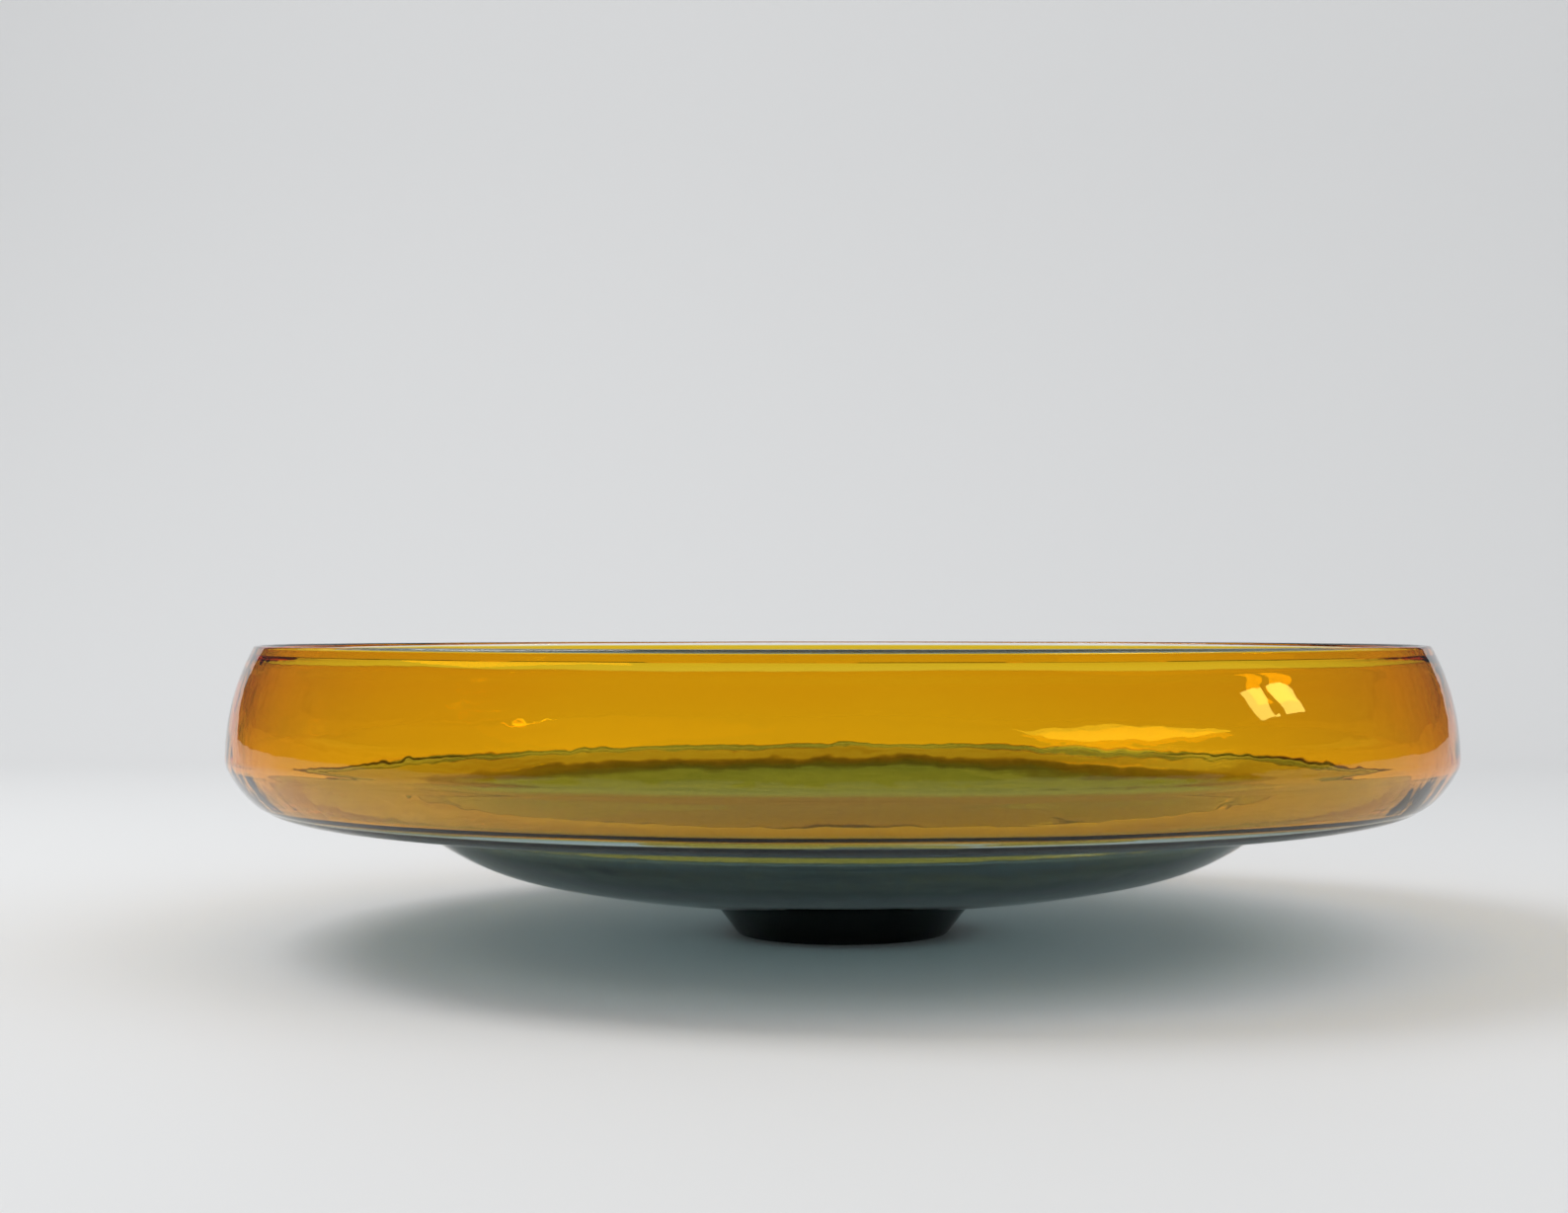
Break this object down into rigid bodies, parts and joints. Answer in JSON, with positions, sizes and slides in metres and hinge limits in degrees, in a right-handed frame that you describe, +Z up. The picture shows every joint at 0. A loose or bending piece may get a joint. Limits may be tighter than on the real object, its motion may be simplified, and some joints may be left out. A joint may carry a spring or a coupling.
{
  "type": "art glass bowl",
  "caption": "Wide shallow blown bowl: amber upper wall joined to a steel-blue stepped base, both cased in clear glass, on a small dark foot.",
  "frame": {"origin": "on the table, under the middle of the foot", "axes": "+Z up along the axis the bowl is turned about; the bowl is the same all round"},
  "size_m": [0.4, 0.4, 0.096],
  "materials": {
    "clear_glass": "gloss",
    "amber_glass": "gloss",
    "blue_glass": "gloss",
    "dark_glass": "gloss"
  },
  "bodies": {
    "root": {"wall_casing": "clear_glass", "amber_wall": "amber_glass", "bowl_casing": "clear_glass", "blue_bowl": "blue_glass", "foot": "dark_glass"}
  },
  "joints": []
}
